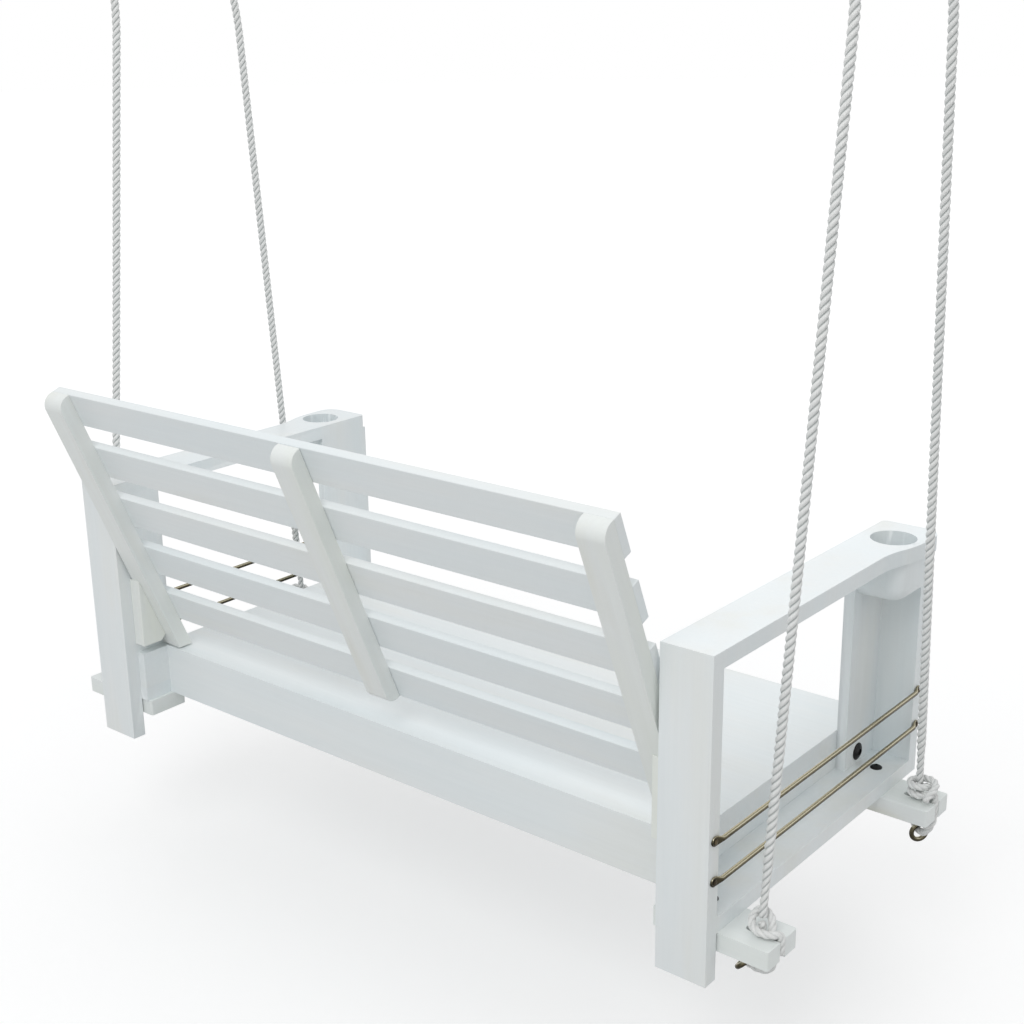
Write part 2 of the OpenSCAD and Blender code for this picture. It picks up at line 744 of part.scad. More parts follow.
module batten_bolts() {
  color(BLACK) for (side = [LEFT, RIGHT]) on_side(side)
    translate([inner_x + slim_t, dome_y, dome_z]) bolt(dome_d, dome_h, 2 * slim_t);
}

module block_bolts() {
  color(BLACK) for (side = [LEFT, RIGHT], y = block_bolt_y) on_side(side)
    translate([block_bolt_x, y, shelf_top]) rotate([0, -90, 0])
      bolt(head_d, head_h, board_t + block_t);
}

module stile_bolts() {
  length = slim_t + stile_side_gap + stile_bolt_depth;
  color(BLACK) for (side = [LEFT, RIGHT]) on_side(side)
    translate([inner_x + slim_t, stile_bolt_y, stile_bolt_z]) {
      domed_head(head_d, head_h);
      bar_x(bolt_d, -length, 0);
      translate([-slim_t - stile_side_gap, 0, 0]) difference() {
        bar_x(head_d, 0, stile_side_gap);
        bar_x(bolt_d + 2 * hole_gap, -e, stile_side_gap + e);
      }
    }
}

ceiling_hooks();
rope(LEFT, hook_y, -rear_lean, rear_rope_l);  // rear_rope_left
rope(RIGHT, hook_y, -rear_lean, rear_rope_l);  // rear_rope_right
thimbles(hook_y, -rear_lean);  // rear_thimbles
ferrules(hook_y, -rear_lean);  // rear_ferrules
rope(LEFT, front_hook_y, -front_lean, front_rope_l);  // front_rope_left
rope(RIGHT, front_hook_y, -front_lean, front_rope_l);  // front_rope_right
thimbles(front_hook_y, -front_lean);  // front_thimbles
ferrules(front_hook_y, -front_lean);  // front_ferrules
hitch(LEFT, rear_block_y, rear_hitch_route, 2);  // rear_hitch_left
hitch(RIGHT, rear_block_y, rear_hitch_route, 2);  // rear_hitch_right
hitch(LEFT, front_block_y, front_hitch_route, 2);  // front_hitch_left
hitch(RIGHT, front_block_y, front_hitch_route, 2);  // front_hitch_right
ring(LEFT, rear_block_y, rear_bight, rear_bight_turn);  // rear_ring_left
ring(RIGHT, rear_block_y, rear_bight, rear_bight_turn);  // rear_ring_right
ring(LEFT, front_block_y, front_bight, front_bight_turn);  // front_ring_left
ring(RIGHT, front_block_y, front_bight, front_bight_turn);  // front_ring_right
rear_leg(LEFT);  // rear_leg_left
rear_leg(RIGHT);  // rear_leg_right
front_leg(LEFT);  // front_leg_left
front_leg(RIGHT);  // front_leg_right
arm_top(LEFT);  // arm_top_left
arm_top(RIGHT);  // arm_top_right
cup_block(LEFT);  // cup_block_left
cup_block(RIGHT);  // cup_block_right
shelf(LEFT);  // shelf_left
shelf(RIGHT);  // shelf_right
front_batten(LEFT);  // front_batten_left
front_batten(RIGHT);  // front_batten_right
rear_batten(LEFT);  // rear_batten_left
rear_batten(RIGHT);  // rear_batten_right
block(LEFT, rear_block_y, block_bolt_y[0]);  // rear_block_left
block(RIGHT, rear_block_y, block_bolt_y[0]);  // rear_block_right
block(LEFT, front_block_y, block_bolt_y[1]);  // front_block_left
block(RIGHT, front_block_y, block_bolt_y[1]);  // front_block_right
rack_rod(LEFT, rod_heights[1]);  // upper_rod_left
rack_rod(RIGHT, rod_heights[1]);  // upper_rod_right
rack_rod(LEFT, rod_heights[0]);  // lower_rod_left
rack_rod(RIGHT, rod_heights[0]);  // lower_rod_right
rod_screws();
seat_side(LEFT);  // seat_side_left
seat_side(RIGHT);  // seat_side_right
rail(rail_y);  // rear_rail
rail(seat_y1);  // front_rail
seat_panel();
seat_bearers();
back_cleat(LEFT);  // back_cleat_left
back_cleat(RIGHT);  // back_cleat_right
end_stile(LEFT);  // stile_left
centre_stile();  // stile_centre
end_stile(RIGHT);  // stile_right
slat(1);  // slat_1
slat(2);  // slat_2
slat(3);  // slat_3
slat(4);  // slat_4
slat(5);  // slat_5
batten_bolts();
block_bolts();
stile_bolts();
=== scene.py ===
import math

import bmesh
import bpy
from mathutils import Matrix, Vector


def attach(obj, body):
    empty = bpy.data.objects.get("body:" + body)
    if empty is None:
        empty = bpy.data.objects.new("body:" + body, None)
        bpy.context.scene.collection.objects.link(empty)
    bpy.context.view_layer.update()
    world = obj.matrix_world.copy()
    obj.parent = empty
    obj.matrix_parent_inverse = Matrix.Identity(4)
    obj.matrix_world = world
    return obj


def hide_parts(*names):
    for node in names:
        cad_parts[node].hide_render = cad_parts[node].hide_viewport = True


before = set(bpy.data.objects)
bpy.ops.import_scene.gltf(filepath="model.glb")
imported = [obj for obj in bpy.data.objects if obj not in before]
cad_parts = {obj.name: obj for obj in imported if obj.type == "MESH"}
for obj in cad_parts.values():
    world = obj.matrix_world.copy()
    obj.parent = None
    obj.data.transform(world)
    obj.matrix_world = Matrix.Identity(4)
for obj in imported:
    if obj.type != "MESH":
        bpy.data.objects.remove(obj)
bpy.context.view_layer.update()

# ---------------------------------------------------------------- places
# Bench millimetres are counted from the leg feet, the back of the rear legs and the
# middle of the bench. The frame is in metres, below the middle of the ceiling hooks.
MID_Y, CEILING = 352, 1490

ROPE_X = 733.4
BLOCK_TOP = 75
BEND_RISE = 24
PIVOT_Z = 1431
REAR_BLOCK_Y, FRONT_BLOCK_Y = 68.5, 569
REAR_HOOK_Y, FRONT_HOOK_Y = 220, 484
HALF_W = 685
LEG_T = 26
BENCH_D = 656
SEAT_Z = 171
ROD_HEIGHTS = {"lower": 164, "upper": 227}
SIDES = {"left": -1, "right": 1}


def at(x, y, z):
    """A point of the bench, given in millimetres, in the frame."""
    return Vector((x, y - MID_Y, z - CEILING)) / 1000


def linked(name, data):
    """A new object with this data, linked to the scene."""
    made = bpy.data.objects.new(name, data)
    bpy.context.scene.collection.objects.link(made)
    return made


# ---------------------------------------------------------------- camera
# Place in the frame, in metres, angles in degrees, lens and sensor in millimetres
CAMERA_AT = (1.6620, -1.9420, -0.1911)
CAMERA_YAW, CAMERA_PITCH, CAMERA_ROLL = 39.61, -17.76, -0.86
CAMERA_LENS, CAMERA_SENSOR = 53.94, 36


def add_camera():
    """The photograph's camera, solved from the straight edges of the bench."""
    data = bpy.data.cameras.new("camera")
    data.lens = CAMERA_LENS
    data.sensor_width = CAMERA_SENSOR
    data.clip_start, data.clip_end = 0.05, 100
    camera = linked("camera", data)
    camera.matrix_world = (
        Matrix.Translation(CAMERA_AT)
        @ Matrix.Rotation(math.radians(CAMERA_YAW), 4, "Z")
        @ Matrix.Rotation(math.radians(90 + CAMERA_PITCH), 4, "X")
        @ Matrix.Rotation(math.radians(CAMERA_ROLL), 4, "Z")
    )
    bpy.context.scene.camera = camera


# ---------------------------------------------------------------- meshes
# Edges sharper than these angles, in degrees, show as edges
ROUND_SHARP, WOOD_SHARP, ROD_SHARP, ROPE_SHARP = 30, 40, 50, 75


def new_piece(name, bm, sharp_angle=ROUND_SHARP):
    """Turns a bmesh into an object that is shaded smooth up to an angle in degrees."""
    mesh = bpy.data.meshes.new(name)
    bm.to_mesh(mesh)
    bm.free()
    mesh.shade_smooth()
    mesh.set_sharp_from_angle(angle=math.radians(sharp_angle))
    return linked(name, mesh)


def set_piece(piece, body, slot, materials, *nodes):
    """Gives a piece its materials and its body, and hides the CAD nodes it stands for."""
    piece.data.materials.clear()
    for material in materials:
        piece.data.materials.append(material)
    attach(piece, body)
    if nodes:
        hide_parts(*nodes)


def skin_rings(bm, rings):
    """Joins rings of vertices with quads, closes the first and the last, and gives the quads."""
    count = len(rings[0])
    quads = []
    for low, high in zip(rings, rings[1:]):
        for k in range(count):
            after = (k + 1) % count
            quads.append(bm.faces.new((low[k], low[after], high[after], high[k])))
    bm.faces.new(rings[0][::-1])
    bm.faces.new(rings[-1])
    return quads


# ---------------------------------------------------------------- ropes
# The rope itself, in metres
# Over the crowns of the strands, in the eyes and hitches. As the bench swings, a front rope
# shifts in its hitch by up to 2.7 mm, and the nearest turn is 15.4 mm from it, middle to middle.
ROPE_R = 0.0062
ROPE_FULL_R = 0.0076     # the same on the free length, where nothing squeezes it
SQUEEZED = (0.17, 0.05)  # length drawn in at the eye and at the block
SWELL = 0.03             # length over which it swells to the full radius
ROPE_LAY = 0.036         # one full turn of the three strands
ROPE_STEP = 0.0022       # between two rings of the mesh
CUT_FROM, CUT_ROUND = 0.0008, 0.004  # a cut end: where its rounding starts, and its length
ROPE_SIDES = 30
STRANDS = 3
STRAND_R = 0.59          # of a strand, in rope radii
STRAND_OUT = 0.41        # from the rope's middle to the strand's, in rope radii
YARNS = 22               # round the rope

# The eye round the thimble, in millimetres and degrees, as in the CAD source
CROWN_R, CROWN_DROP, LEG_ANGLE = 16.7, 4.2, 20
STRAND_SIDE = 6.4
FERRULE_TOP, FERRULE_END, TAIL_END = 39.44, 67.44, 75.44
LEG_END, STRAIGHT_END = FERRULE_TOP - 1.2, FERRULE_END + 1  # of the two strands side by side
CROWN_STEPS = 16
FREE_RUN = [110, 140, 400, 700, 1000]  # places on the way down, below the hook
FREE_OFF = [-2, 0, 0, 0, 0]            # and how far off the middle the rope is there

# Lean of the ropes, in degrees; the rear ones hang towards the back
REAR_LEAN, FRONT_LEAN = -6.4905, 3.6514

# Middle lines of the hitches, in millimetres from the rope's place on top of the block:
# outwards, to the front and up, as in the CAD source
HITCH_STEPS = 8          # pieces of the curve between two points
FRONT_HITCH = [
    (0, 0, 17.4), (0, 0, 9), (-2, 0, 0), (-8, 0, -14), (-13.5, 0, -28), (-17, 5, -41),
    (-12, 10, -51), (-4, 6.5, -58), (5, 0, -60), (14, -6.5, -58), (22, -10, -51),
    (27, -6, -41), (28, 0, -31), (28, 0, -14), (28, 0, 1), (26.5, -1, 11), (16.5, -10, 12),
    (5, -14.5, 10), (-6, -12.5, 10.5), (-13, -5, 11.5), (-13, 4, 12), (-6.5, 11.5, 12.5),
    (3, 13.5, 14.5), (12, 9, 17.5), (15, -2, 22.5), (10, -12, 25), (0, -15.4, 25.5),
    (-10, -12, 25.5), (-14.5, -1, 25.5), (-10, 9.5, 26), (0, 14, 28), (11, 12, 30.5),
    (21, 8, 30.5), (28, 0, 28.5), (29, -10, 24), (25, -20, 17), (21, -24.5, 8),
]
REAR_HITCH = [
    (0, 0, 17.4), (0, 0, 9), (-2, 0, 0), (-8, 0, -14), (-14, 0, -28), (-23, 0, -38),
    (-26.5, 0, -45), (-22.6, 0, -54.6), (-12, 0, -59), (0, 0, -59.5), (11, 0, -56),
    (17.5, 0, -48), (18, 0, -38), (16, 0, -28), (15.5, 0, -14), (15.5, 0, 1), (14, 4, 9),
    (9, 11, 18), (1, 14.5, 25), (-9, 11, 28), (-14, 4, 25), (-14.5, -4, 18), (-9, -11, 12.5),
    (0, -14.5, 10), (10, -15, 9.5), (21, -11.5, 9.5), (28.5, -4, 9), (31, 0, 1.5),
    (31, 0, -12), (31, 0, -24),
]


def curved(points, steps):
    """Smooth curve through the points, as the CAD source draws it."""
    last = len(points) - 1
    line = []
    for i in range(last):
        a, b = points[max(i - 1, 0)], points[i]
        c, d = points[i + 1], points[min(i + 2, last)]
        for step in range(steps):
            t = step / steps
            bend = 2 * a - 5 * b + 4 * c - d + t * (3 * (b - c) + d - a)
            line.append(b + 0.5 * t * (c - a + t * bend))
    return line + [points[last]]


def spaced(points, step):
    """The same line with its points evenly spaced, about a step apart."""
    lengths = [0.0]
    for a, b in zip(points, points[1:]):
        lengths.append(lengths[-1] + (b - a).length)
    count = max(2, round(lengths[-1] / step))
    line, i = [], 0
    for k in range(count + 1):
        want = lengths[-1] * k / count
        while i < len(points) - 2 and lengths[i + 1] < want:
            i += 1
        part = (want - lengths[i]) / max(lengths[i + 1] - lengths[i], 1e-9)
        line.append(points[i].lerp(points[i + 1], part))
    return line


def tangents(line):
    """Direction of a line at each of its points."""
    last = len(line) - 1
    return [
        (line[min(i + 1, last)] - line[max(i - 1, 0)]).normalized() for i in range(last + 1)
    ]


def strand_radius(angle):
    """Radius of the strands laid together, in rope radii, at an angle in radians."""
    share = 2 * math.pi / STRANDS
    off = (angle + share / 2) % share - share / 2
    across = STRAND_OUT * math.sin(off)
    return STRAND_OUT * math.cos(off) + math.sqrt(STRAND_R**2 - across**2)


def ease_in(value):
    """Smooth step from 0 to 1."""
    value = min(max(value, 0.0), 1.0)
    return value * value * (3 - 2 * value)


def rope_radius(run, length, full_r):
    """Radius of a rope this far along its length, drawn in at both its ends."""
    start, end = SQUEEZED
    swell = min(ease_in((run - start) / SWELL), ease_in((length - end - run) / SWELL))
    return ROPE_R + (full_r - ROPE_R) * swell


def laid_rope(name, points, full_r=ROPE_R):
    """Mesh of a three-strand rope along a line; its UV is (turn round the rope, length)."""
    line = spaced(points, ROPE_STEP)
    directions = tangents(line)
    side = directions[0].orthogonal().normalized()
    bm = bmesh.new()
    uv = bm.loops.layers.uv.new("lay")
    rings = []
    for i, (middle, ahead) in enumerate(zip(line, directions)):
        side = (side - side.dot(ahead) * ahead).normalized()
        up = ahead.cross(side)
        # the ends are drawn in over their last few rings, like a cut and taped end
        from_end = min(i, len(line) - 1 - i) * ROPE_STEP
        close = math.sin(math.acos(1 - min(1, (from_end + CUT_FROM) / CUT_ROUND)))
        twist = 2 * math.pi * i * ROPE_STEP / ROPE_LAY
        radius = rope_radius(i * ROPE_STEP, (len(line) - 1) * ROPE_STEP, full_r)
        ring = []
        for k in range(ROPE_SIDES):
            lobe = 2 * math.pi * k / ROPE_SIDES
            r = radius * strand_radius(lobe) * close
            turn = lobe + twist
            out = math.cos(turn) * side + math.sin(turn) * up
            ring.append(bm.verts.new(middle + r * out))
        rings.append(ring)
    for number, quad in enumerate(skin_rings(bm, rings)):
        i, k = divmod(number, ROPE_SIDES)
        for loop, (dk, di) in zip(quad.loops, ((0, 0), (1, 0), (1, 1), (0, 1))):
            turn = (k + dk) / ROPE_SIDES + (i + di) * ROPE_STEP / ROPE_LAY
            loop[uv].uv = (turn, (i + di) * ROPE_STEP)
    return new_piece(name, bm, ROPE_SHARP), line


def rope_points(side, hook_y, lean, length):
    """A rope's middle line: tail, eye round the thimble, and down to the block."""
    flat = [(TAIL_END, STRAND_SIDE), (LEG_END, STRAND_SIDE)]
    for i in range(CROWN_STEPS + 1):
        a = math.radians(180 + LEG_ANGLE - i * (180 + 2 * LEG_ANGLE) / CROWN_STEPS)
        flat.append((CROWN_DROP - CROWN_R * math.sin(a), -CROWN_R * math.cos(a)))
    flat += [(LEG_END, -STRAND_SIDE), (STRAIGHT_END, -STRAND_SIDE)]
    flat += [*zip(FREE_RUN, FREE_OFF), (length, 0)]
    turn = Matrix.Rotation(math.radians(lean), 4, "X")
    hook = Vector((side * ROPE_X, hook_y, PIVOT_Z))
    return [at(*(hook + turn @ Vector((0, across, -below)))) for below, across in flat]


def add_ropes(taut, slack):
    """The four ropes, which are taut, and their hitches, which are slack."""
    gear = {
        "rear": (REAR_HOOK_Y, REAR_BLOCK_Y, REAR_LEAN, REAR_HITCH),
        "front": (FRONT_HOOK_Y, FRONT_BLOCK_Y, FRONT_LEAN, FRONT_HITCH),
    }
    drop = PIVOT_Z - BLOCK_TOP - BEND_RISE
    for end, (hook_y, block_y, lean, route) in gear.items():
        for side_name, side in SIDES.items():
            length = drop / math.cos(math.radians(lean))
            rope, line = laid_rope(
                f"rope_{end}_{side_name}", rope_points(side, hook_y, lean, length), ROPE_FULL_R
            )
            set_piece(rope, f"{end}_ropes", "rope", [taut], f"{end}_rope_{side_name}")
            places = [at(side * (ROPE_X + x), block_y + y, BLOCK_TOP + z) for x, y, z in route]
            knot, _ = laid_rope(f"hitch_{end}_{side_name}", curved(places, HITCH_STEPS))
            set_piece(knot, "seat", "rope", [slack], f"{end}_hitch_{side_name}")


# ---------------------------------------------------------------- materials
def shader(name, **inputs):
    """A material and its principled shader; scalars and colours are set on its sockets."""
    material = bpy.data.materials.new(name)
    material.use_nodes = True
    tree = material.node_tree
    bsdf = tree.nodes["Principled BSDF"]
    for socket, value in inputs.items():
        bsdf.inputs[socket.replace("_", " ")].default_value = value
    return material, tree, bsdf


def node(tree, kind, settings=None, **inputs):
    """A new node with its attributes set, and values or links on its inputs by name.

    An underscore in a name stands for a space.
    """
    made = tree.nodes.new(kind)
    for key, value in (settings or {}).items():
        setattr(made, key, value)
    for key, value in inputs.items():
        feed(tree, made.inputs[key.replace("_", " ")], value)
    return made


def feed(tree, socket, value):
    """Links a socket's output to an input, or sets the input to a value."""
    if isinstance(value, bpy.types.NodeSocket):
        tree.links.new(value, socket)
    else:
        socket.default_value = value


def maths(tree, operation, *values):
    """Result of a math node, with values or links on its inputs in their order."""
    made = node(tree, "ShaderNodeMath", {"operation": operation})
    for socket, value in zip(made.inputs, values):
        feed(tree, socket, value)
    return made.outputs[0]


def ramp(tree, value, *stops):
    """Colour ramp from (place, colour) stops; grey stops may be a single number."""
    made = tree.nodes.new("ShaderNodeValToRGB")
    tree.links.new(value, made.inputs["Fac"])
    elements = made.color_ramp.elements
    while len(elements) < len(stops):
        elements.new(0.5)
    for element, (place, colour) in zip(elements, stops):
        rgb = (colour,) * 3 if isinstance(colour, (int, float)) else colour
        element.position, element.color = place, (*rgb, 1)
    return made.outputs["Color"]


MIX_FACTOR, MIX_A, MIX_B, MIX_RESULT = 0, 6, 7, 2  # sockets of the mix node for colours


def mix(tree, factor, a, b, blend="MIX"):
    """Mix of two colours, each a link or three numbers."""
    made = node(tree, "ShaderNodeMix", {"data_type": "RGBA", "blend_type": blend})
    feed(tree, made.inputs[MIX_FACTOR], factor)
    for socket, colour in ((made.inputs[MIX_A], a), (made.inputs[MIX_B], b)):
        feed(tree, socket, colour if isinstance(colour, bpy.types.NodeSocket) else (*colour, 1))
    return made.outputs[MIX_RESULT]


def noise(tree, vector, scale, detail=3.0, roughness=0.5):
    """Soft noise from 0 to 1 over a vector."""
    made = node(
        tree, "ShaderNodeTexNoise", Vector=vector, Scale=scale, Detail=detail, Roughness=roughness
    )
    return made.outputs["Fac"]


def object_place(tree):
    """Place on the object, in metres."""
    return node(tree, "ShaderNodeTexCoord").outputs["Object"]


def stretched(tree, vector, scale, turn=(0, 0, 0)):
    """A vector, turned and then scaled along each axis."""
    turned = node(tree, "ShaderNodeMapping", Vector=vector, Rotation=turn).outputs["Vector"]
    return node(tree, "ShaderNodeMapping", Vector=turned, Scale=scale).outputs["Vector"]


def fine_scratches(tree, place):
    """Thin noise, drawn out along Y."""
    return noise(tree, stretched(tree, place, (1400, 90, 1400)), 1.0, 3.0)


def coat(tree, bsdf, colour, height, strength, distance):
    """Gives a shader its colour and its fine relief, up to a distance in metres."""
    tree.links.new(colour, bsdf.inputs["Base Color"])
    bump = node(tree, "ShaderNodeBump", Strength=strength, Distance=distance, Height=height)
    tree.links.new(bump.outputs["Normal"], bsdf.inputs["Normal"])


# Shades of the white paint: its two base tones, yellowed with age, and over resin
PAINT_COOL = (0.80, 0.855, 0.87)
PAINT_SOFT = (0.84, 0.87, 0.87)
PAINT_WARM = (0.82, 0.845, 0.775)
PAINT_STAIN = (0.71, 0.70, 0.54)
BACK_LEAN = math.radians(22.2)  # of the stiles, whose grain leans with them


def painted_wood(name, grain, turn=(0, 0, 0), warmth=0.0):
    """White paint over softwood: streaks run along the grain axis, 0 to 2 for X to Z.

    The turn, in radians, brings a leaning board's grain onto that axis.
    """
    material, tree, bsdf = shader(name, Roughness=0.36, Specular_IOR_Level=0.45)
    place = object_place(tree)
    fine_scale, broad_scale, knot_scale = [150.0] * 3, [10.0] * 3, [6.0] * 3
    fine_scale[grain], broad_scale[grain], knot_scale[grain] = 4.0, 1.8, 2.4
    fine = noise(tree, stretched(tree, place, fine_scale, turn), 1.0, 4.0, 0.6)
    broad = noise(tree, stretched(tree, place, broad_scale, turn), 1.0, 3.0)
    cloud = noise(tree, place, 5.0, 2.0)
    yellowed = mix(tree, warmth, PAINT_COOL, PAINT_WARM)
    colour = mix(tree, ramp(tree, broad, (0.35, 0.0), (0.65, 1.0)), yellowed, PAINT_SOFT)
    # resin shows through the paint in faint streaks, and round a few knots
    stain = ramp(tree, broad, (0.56, 0.0), (0.72, 0.12 + 0.38 * warmth))
    colour = mix(tree, stain, colour, PAINT_STAIN)
    cells = node(
        tree, "ShaderNodeTexVoronoi", Vector=stretched(tree, place, knot_scale, turn), Scale=1.0,
        Randomness=1.0,
    ).outputs["Distance"]
    knot = ramp(tree, cells, (0.0, 0.5), (0.045, 0.25), (0.07, 0.4), (0.12, 0.0))
    few = ramp(tree, cloud, (0.50, 0.0), (0.62, 0.6))
    colour = mix(tree, mix(tree, 1.0, knot, few, "MULTIPLY"), colour, PAINT_STAIN)
    colour = mix(tree, 1.0, colour, ramp(tree, fine, (0.3, 0.975), (0.7, 1.0)), "MULTIPLY")
    tree.links.new(ramp(tree, broad, (0.3, 0.30), (0.7, 0.44)), bsdf.inputs["Roughness"])
    brushed = mix(tree, 0.35, fine, noise(tree, place, 420.0, 2.0))
    coat(tree, bsdf, colour, brushed, 0.22, 0.0003)
    return material


def rope_material(name, painted_groove_shade):
    """Glossy off-white filaments, lying nearly along the rope on each strand.

    The grooves between the strands get painted shade, darkened by a share from 0 to 1 that the
    second argument gives.
    """
    material, tree, bsdf = shader(
        name, Roughness=0.5, Specular_IOR_Level=0.4, Sheen_Weight=0.25, Sheen_Roughness=0.4,
    )
    uv = node(tree, "ShaderNodeUVMap", {"uv_map": "lay"}).outputs["UV"]
    split = node(tree, "ShaderNodeSeparateXYZ", Vector=uv).outputs
    yarns = maths(tree, "SINE", maths(tree, "MULTIPLY", split["X"], 2 * math.pi * YARNS))
    place = object_place(tree)
    fibre = noise(tree, stretched(tree, place, (900, 900, 60)), 1.0, 3.0, 0.65)
    shade = noise(tree, place, 14.0, 2.0)
    colour = mix(tree, shade, (0.86, 0.875, 0.87), (0.91, 0.91, 0.89))
    # without the turn of the lay, the first coordinate is the place round the strands
    laid = maths(tree, "MULTIPLY_ADD", split["Y"], -1 / ROPE_LAY, split["X"])
    crown = maths(tree, "COSINE", maths(tree, "MULTIPLY", laid, 2 * STRANDS * math.pi))
    # painted shade in the grooves between the strands, darkest midway between two crowns
    groove = ramp(
        tree, maths(tree, "MULTIPLY_ADD", crown, 0.5, 0.5), (0.0, (0.58, 0.60, 0.60)),
        (0.12, (0.80, 0.82, 0.82)), (0.30, (0.96, 0.97, 0.97)), (0.5, 1.0),
    )
    colour = mix(tree, painted_groove_shade, colour, groove, "MULTIPLY")
    colour = mix(tree, 1.0, colour, ramp(tree, fibre, (0.3, 0.86), (0.65, 1.0)), "MULTIPLY")
    coat(tree, bsdf, colour, maths(tree, "MULTIPLY_ADD", yarns, 0.5, fibre), 0.5, 0.0004)
    return material


def plated(name, light, dark, roughness):
    """Plated or coated metal with darker patches and fine scratches."""
    material, tree, bsdf = shader(name, Metallic=1.0, Roughness=roughness)
    place = object_place(tree)
    patches = noise(tree, place, 60.0, 4.0, 0.6)
    colour = mix(tree, ramp(tree, patches, (0.38, 1.0), (0.62, 0.0)), light, dark)
    worn = ramp(tree, patches, (0.3, roughness * 1.4), (0.7, roughness * 0.8))
    tree.links.new(worn, bsdf.inputs["Roughness"])
    coat(tree, bsdf, colour, fine_scratches(tree, place), 0.2, 0.0001)
    return material


def antique_brass():
    """Lacquered dark brass with random patches, and painted light by which way it faces: painted
    shade on the flanks and underside, a faint painted reflection at the very bottom, and a
    painted highlight line along the top.
    """
    material, tree, bsdf = shader("antique_brass", Metallic=1.0, Roughness=0.26)
    place = object_place(tree)
    normal = node(tree, "ShaderNodeNewGeometry").outputs["Normal"]
    up = node(tree, "ShaderNodeSeparateXYZ", Vector=normal).outputs["Z"]
    patches = noise(tree, place, 130.0, 4.0, 0.6)
    # how far the surface faces up, which sets the painted shade and painted highlight below
    facing_for_painted_light = maths(tree, "MULTIPLY_ADD", up, 0.5, 0.5)
    painted_light_and_patches = maths(tree, "MULTIPLY_ADD", patches, 0.12, facing_for_painted_light)
    # painted light: painted shade on the flanks and underside, a faint painted reflection at the
    # very bottom, and a painted highlight line just below the top
    colour = ramp(
        tree, painted_light_and_patches, (0.10, (0.16, 0.14, 0.085)), (0.30, (0.025, 0.022, 0.014)),
        (0.60, (0.055, 0.048, 0.03)), (0.82, (0.17, 0.15, 0.095)), (0.93, (0.66, 0.62, 0.48)),
        (1.0, (0.30, 0.27, 0.18)),
    )
    tree.links.new(ramp(tree, patches, (0.3, 0.32), (0.7, 0.20)), bsdf.inputs["Roughness"])
    coat(tree, bsdf, colour, fine_scratches(tree, place), 0.15, 0.0001)
    return material


def black_oxide():
    """Black bolts with a fine grain."""
    material, tree, bsdf = shader("black_oxide", Metallic=0.6, Roughness=0.42)
    place = object_place(tree)
    grains = noise(tree, place, 900.0, 3.0)
    colour = mix(tree, grains, (0.006, 0.006, 0.007), (0.02, 0.019, 0.018))
    coat(tree, bsdf, colour, grains, 0.2, 0.0001)
    return material


# ---------------------------------------------------------------- woodwork
# Radius of the sanded edges, in metres
FRAME_EASE, STILE_EASE, SLAT_EASE, SEAT_EASE, BLOCK_EASE = 0.0016, 0.0022, 0.0012, 0.0012, 0.0016

HOLE_RIM = 0.0006        # longest edge on the rim of a drilled hole, in metres
WELD = 1e-6              # distance within which two vertices are one
SAME_HEIGHT = 1e-4       # difference of height that still counts as level
FACES_UP = 0.9           # least Z of the normal of a face that looks up
FLAT_ANGLE = math.radians(0.3)
SANDED_ANGLE = math.radians(35)
SANDED_STEPS = 3
SLATS = 5


def closed_copy(cad_name):
    """A CAD node's mesh as a closed bmesh, with one material."""
    bm = bmesh.new()
    bm.from_mesh(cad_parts[cad_name].data)
    bmesh.ops.remove_doubles(bm, verts=bm.verts, dist=WELD)
    bmesh.ops.recalc_face_normals(bm, faces=bm.faces)
    for face in bm.faces:
        face.material_index = 0
    return bm


def ease(bm, radius, shortest=0.0):
    """Joins flat faces, and rounds the sharp edges that are longer than the shortest."""
    bmesh.ops.dissolve_limit(
        bm, angle_limit=FLAT_ANGLE, verts=bm.verts, edges=bm.edges, delimit={"MATERIAL"}
    )
    folds = [edge for edge in bm.edges if len(edge.link_faces) == 2]
    sharp = [
        edge for edge in folds
        if edge.calc_face_angle() > SANDED_ANGLE and edge.calc_length() > shortest
    ]
    bmesh.ops.bevel(
        bm, geom=sharp, offset=radius, offset_type="OFFSET", segments=SANDED_STEPS, profile=0.5,
        affect="EDGES", clamp_overlap=True,
    )


def keep_flat(piece):
    """Lets large faces shade flat beside their rounded edges."""
    normals = piece.modifiers.new("normals", "WEIGHTED_NORMAL")
    normals.keep_sharp = True


def eased(cad_name, material, radius):
    """Copy of a painted node with its edges sanded round."""
    bm = closed_copy(cad_name)
    ease(bm, radius)
    piece = new_piece(f"painted_{cad_name}", bm, WOOD_SHARP)
    keep_flat(piece)
    set_piece(piece, "seat", "painted_wood", [material], cad_name)


